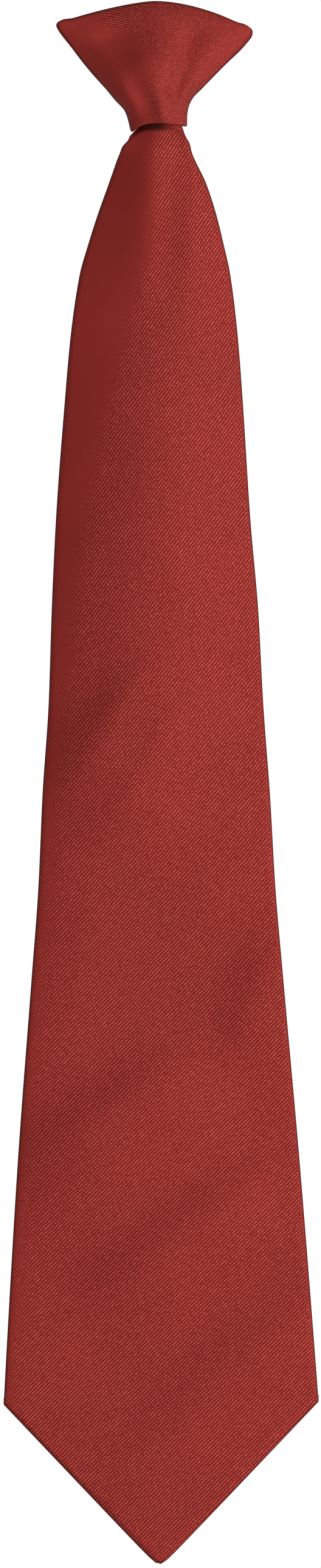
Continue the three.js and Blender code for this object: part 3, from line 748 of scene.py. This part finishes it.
# The clip is one strip of black moulded plastic behind the knot. Its plate is fixed to the
# knot's back, its bend goes over the top of the collar band, and its tongue hangs down
# inside the band and leans in to grip it.
CLIP_WIDTH = 0.013
CLIP_THICKNESS = 0.0012
CLIP_JAW = 0.003
CLIP_PLATE_HEIGHT = 0.022
CLIP_TONGUE_LENGTH = 0.026
CLIP_PINCH = 0.0006
CLIP_GRIP_AT = 0.7
CLIP_LIP = 0.0018
CLIP_CORNER = 0.0035
CLIP_CORNER_STEPS = 6
CLIP_ROUNDING = 0.00025
CLIP_ROUNDING_STEPS = 3
CLIP_SHARP_ANGLE = math.radians(50)
BEND_STEPS = 14
BLACK = (0.008, 0.008, 0.009, 1)
GREYED_BLACK = (0.016, 0.016, 0.018, 1)
PIT_DEPTH = 0.00003

outer = CLIP_JAW / 2 + CLIP_THICKNESS
bm = bmesh.new()
foot = bm.verts.new((-CLIP_WIDTH / 2, -outer, -CLIP_PLATE_HEIGHT))
step = bmesh.ops.extrude_vert_indiv(bm, verts=[foot])
bmesh.ops.translate(bm, verts=step["verts"], vec=(0, 0, CLIP_PLATE_HEIGHT - CLIP_JAW / 2))
bend = bmesh.ops.spin(bm, geom=step["verts"], cent=(0, 0, -CLIP_JAW / 2), axis=(1, 0, 0), angle=-math.pi,
                      steps=BEND_STEPS)
end = [item for item in bend["geom_last"] if isinstance(item, bmesh.types.BMVert)]
for y, z in ((-CLIP_PINCH, -CLIP_TONGUE_LENGTH * CLIP_GRIP_AT), (CLIP_LIP, -CLIP_TONGUE_LENGTH)):
    start = end[0].co.copy()
    end = bmesh.ops.extrude_vert_indiv(bm, verts=end)["verts"]
    bmesh.ops.translate(bm, verts=end, vec=(0, y, z - start.z))
bmesh.ops.remove_doubles(bm, verts=bm.verts, dist=1e-6)
strip = bmesh.ops.extrude_edge_only(bm, edges=bm.edges)
bmesh.ops.translate(bm, verts=[v for v in strip["geom"] if isinstance(v, bmesh.types.BMVert)],
                    vec=(CLIP_WIDTH, 0, 0))
tongue_end = [v for v in bm.verts if v.co.z < -CLIP_PLATE_HEIGHT - CLIP_THICKNESS]
bmesh.ops.bevel(bm, geom=tongue_end, offset=CLIP_CORNER, offset_type="OFFSET", segments=CLIP_CORNER_STEPS,
                profile=0.5, affect="VERTICES", material=-1)
bmesh.ops.recalc_face_normals(bm, faces=bm.faces)
if max(bm.faces, key=lambda f: f.calc_center_median().z).normal.z < 0:
    bmesh.ops.reverse_faces(bm, faces=bm.faces)
clip = make_piece("clip_strip", bm)
clip.data.shade_smooth()
give_wall(clip, CLIP_THICKNESS)
rounding = clip.modifiers.new("rounding", "BEVEL")
rounding.width = CLIP_ROUNDING
rounding.segments = CLIP_ROUNDING_STEPS
rounding.limit_method = "ANGLE"
rounding.angle_limit = CLIP_SHARP_ANGLE
rounding.harden_normals = True

plastic = bpy.data.materials.new("moulded_black")
plastic.use_nodes = True
nodes, links = plastic.node_tree.nodes, plastic.node_tree.links
shader = nodes["Principled BSDF"]
grain = add_noise(nodes, links, nodes.new("ShaderNodeTexCoord").outputs["Object"], 2600, 3)
tone = nodes.new("ShaderNodeValToRGB")
tone.color_ramp.elements[0].color = BLACK
tone.color_ramp.elements[1].color = GREYED_BLACK
links.new(grain, tone.inputs["Fac"])
links.new(tone.outputs["Color"], shader.inputs["Base Color"])
roughness = add_math(nodes, links, "MULTIPLY_ADD", grain, 0.15, 0.36)
links.new(roughness, shader.inputs["Roughness"])
pits = nodes.new("ShaderNodeBump")
pits.inputs["Strength"].default_value = 0.25
pits.inputs["Distance"].default_value = PIT_DEPTH
links.new(grain, pits.inputs["Height"])
links.new(pits.outputs["Normal"], shader.inputs["Normal"])
clip.data.materials.append(plastic)
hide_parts("clip")
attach(clip, "root")


# The studio: a pale floor well under the hanging tie, a white surround, and soft lamps, the
# main one at the front right, so that the left slopes of the folds fall dark. One lamp
# behind serves the back.
CAMERA_X = 0.00177
CAMERA_Z = -0.2229
CAMERA_DISTANCE = 2.0
PICTURE_HEIGHT = 0.4562
FLOOR_Z = -0.56
FLOOR_HALF_WIDTH = 0.8
FLOOR_PALE = (0.82, 0.82, 0.81, 1)
SURROUND_LIGHT = 0.19

camera_data = bpy.data.cameras.new("camera")
camera_data.type = "ORTHO"
camera_data.ortho_scale = PICTURE_HEIGHT
camera = bpy.data.objects.new("camera", camera_data)
camera.location = (CAMERA_X, -CAMERA_DISTANCE, CAMERA_Z)
camera.rotation_euler = (math.pi / 2, 0, 0)
bpy.context.scene.collection.objects.link(camera)
bpy.context.scene.camera = camera

bm = bmesh.new()
bmesh.ops.create_grid(bm, x_segments=1, y_segments=1, size=FLOOR_HALF_WIDTH,
                      matrix=Matrix.Translation((0, 0, FLOOR_Z)))
floor = make_piece("floor", bm)
paint = bpy.data.materials.new("pale_floor")
paint.use_nodes = True
shader = paint.node_tree.nodes["Principled BSDF"]
shader.inputs["Base Color"].default_value = FLOOR_PALE
shader.inputs["Roughness"].default_value = 0.8
floor.data.materials.append(paint)


def add_lamp(name, place, size, power):
    """Hangs a square soft lamp that points at the middle of the tie."""
    data = bpy.data.lights.new(name, "AREA")
    data.size = size
    data.energy = power
    lamp = bpy.data.objects.new(name, data)
    lamp.location = place
    aim = Vector((0, 0, CAMERA_Z)) - Vector(place)
    lamp.rotation_euler = aim.to_track_quat("-Z", "Y").to_euler()
    bpy.context.scene.collection.objects.link(lamp)


add_lamp("main_lamp", (1.37, -0.96, -0.12), 0.6, 21.5)
add_lamp("front_lamp", (-0.4, -1.9, 0.1), 0.9, 10.5)
add_lamp("back_lamp", (0, 2.2, 0.1), 0.4, 16)

surround = bpy.data.worlds.new("surround")
surround.use_nodes = True
bpy.context.scene.world = surround
nodes, links = surround.node_tree.nodes, surround.node_tree.links
seen = nodes.new("ShaderNodeBackground")
seen.inputs["Color"].default_value = (1, 1, 1, 1)
lit = nodes["Background"]
lit.inputs["Color"].default_value = (1, 1, 1, 1)
lit.inputs["Strength"].default_value = SURROUND_LIGHT
path = nodes.new("ShaderNodeLightPath")
either = nodes.new("ShaderNodeMixShader")
links.new(path.outputs["Is Camera Ray"], either.inputs["Fac"])
links.new(lit.outputs["Background"], either.inputs[1])
links.new(seen.outputs["Background"], either.inputs[2])
links.new(either.outputs["Shader"], nodes["World Output"].inputs["Surface"])
bpy.context.scene.view_settings.view_transform = "Standard"
